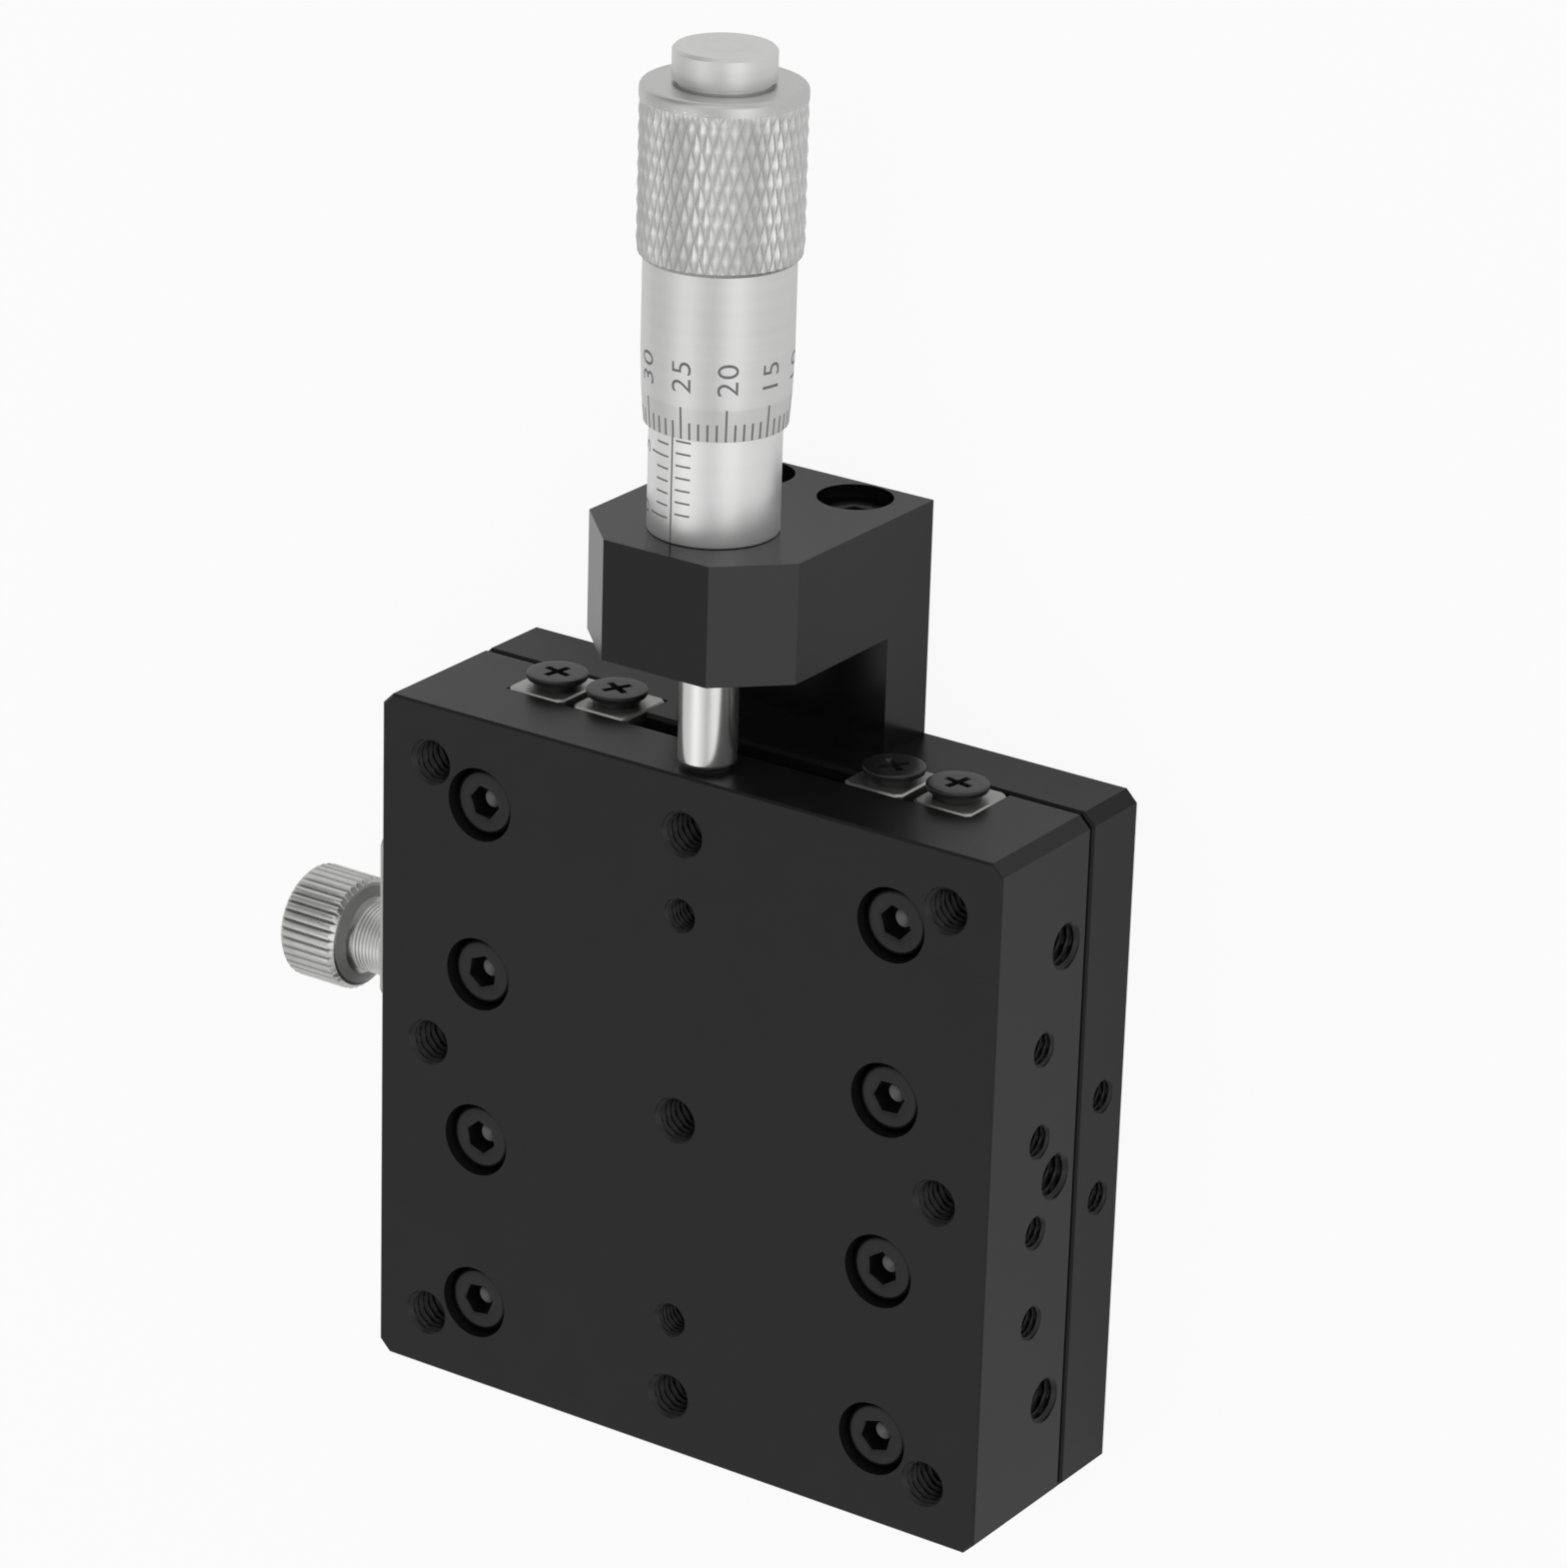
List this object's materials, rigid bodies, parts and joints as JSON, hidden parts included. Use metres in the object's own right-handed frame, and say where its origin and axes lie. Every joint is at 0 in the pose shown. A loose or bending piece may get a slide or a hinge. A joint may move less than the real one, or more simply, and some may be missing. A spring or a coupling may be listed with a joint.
{
  "type": "crossed roller linear stage",
  "caption": "Square manual linear stage: a table on crossed roller rails, moved by a micrometer head on an end bracket and locked by a side clamp screw.",
  "frame": {"origin": "centre of the base plate's underside", "axes": "+Z normal of the table's face, +Y travel and micrometer direction, +X across the rails, away from the clamp knob"},
  "size_m": [0.0729, 0.1201, 0.0244],
  "materials": {
    "black_anodised": "matte black anodised, fine grain",
    "black_anodised_bracket": "black anodised, slightly glossier than the plates",
    "rail_steel": "ground hardened steel",
    "black_oxide_screws": "black oxide",
    "satin_chrome": "satin chrome plate",
    "ground_steel": "ground and polished",
    "spring_wire": "drawn wire",
    "cage_brass": "rolled strip",
    "clamp_steel": "turned and nickel plated"
  },
  "bodies": {
    "base": {"base_plate": "black_anodised", "inner_rail_left": "rail_steel", "inner_rail_right": "rail_steel", "inner_rail_screws": "black_oxide_screws", "inner_rail_end_screws": "black_oxide_screws", "micrometer_bracket": "black_anodised_bracket", "bracket_screws": "black_oxide_screws", "barrel_set_screw": "black_oxide_screws", "micrometer_barrel": "satin_chrome", "thread_adjusting_nut": "satin_chrome", "base_spring_pin": "ground_steel", "return_spring": "spring_wire"},
    "table": {"table_plate": "black_anodised", "outer_rail_left": "rail_steel", "outer_rail_right": "rail_steel", "outer_rail_screws": "black_oxide_screws", "outer_rail_end_screws": "black_oxide_screws", "spindle_anvil": "ground_steel", "table_spring_pin": "ground_steel", "clamp_plate": "clamp_steel", "clamp_plate_screw": "clamp_steel"},
    "cage_left": {"cage_left": "cage_brass", "rollers_left": "ground_steel"},
    "cage_right": {"cage_right": "cage_brass", "rollers_right": "ground_steel"},
    "thimble": {"spindle": "ground_steel", "thimble_sleeve": "satin_chrome", "thimble_grip": "satin_chrome", "thimble_end_cap": "satin_chrome"},
    "clamp": {"clamp_screw": "clamp_steel"}
  },
  "joints": [
    {"name": "thimble_spin", "type": "hinge", "parent": "table", "child": "thimble", "pos_m": [0, 0.0615, 0.01667], "axis": [0, 1, 0], "range_deg": [-4680, 4680]},
    {"name": "table_slide", "type": "slide", "parent": "base", "child": "table", "axis": [0, 1, 0], "range_m": [-0.0065, 0.0065], "deforming": ["return_spring"]},
    {"name": "cage_left_slide", "type": "slide", "parent": "base", "child": "cage_left", "axis": [0, 1, 0], "range_m": [-0.00325, 0.00325]},
    {"name": "cage_right_slide", "type": "slide", "parent": "base", "child": "cage_right", "axis": [0, 1, 0], "range_m": [-0.00325, 0.00325]},
    {"name": "clamp_turn", "type": "hinge", "parent": "table", "child": "clamp", "pos_m": [-0.0401, 0.004, 0.0126], "axis": [1, 0, 0], "range_deg": [-270, 90]}
  ],
  "couplings": [
    {"joint": "thimble_spin", "follows": "table_slide", "rad_per_m": 12566},
    {"joint": "cage_left_slide", "follows": "table_slide", "ratio": 0.5},
    {"joint": "cage_right_slide", "follows": "table_slide", "ratio": 0.5}
  ]
}
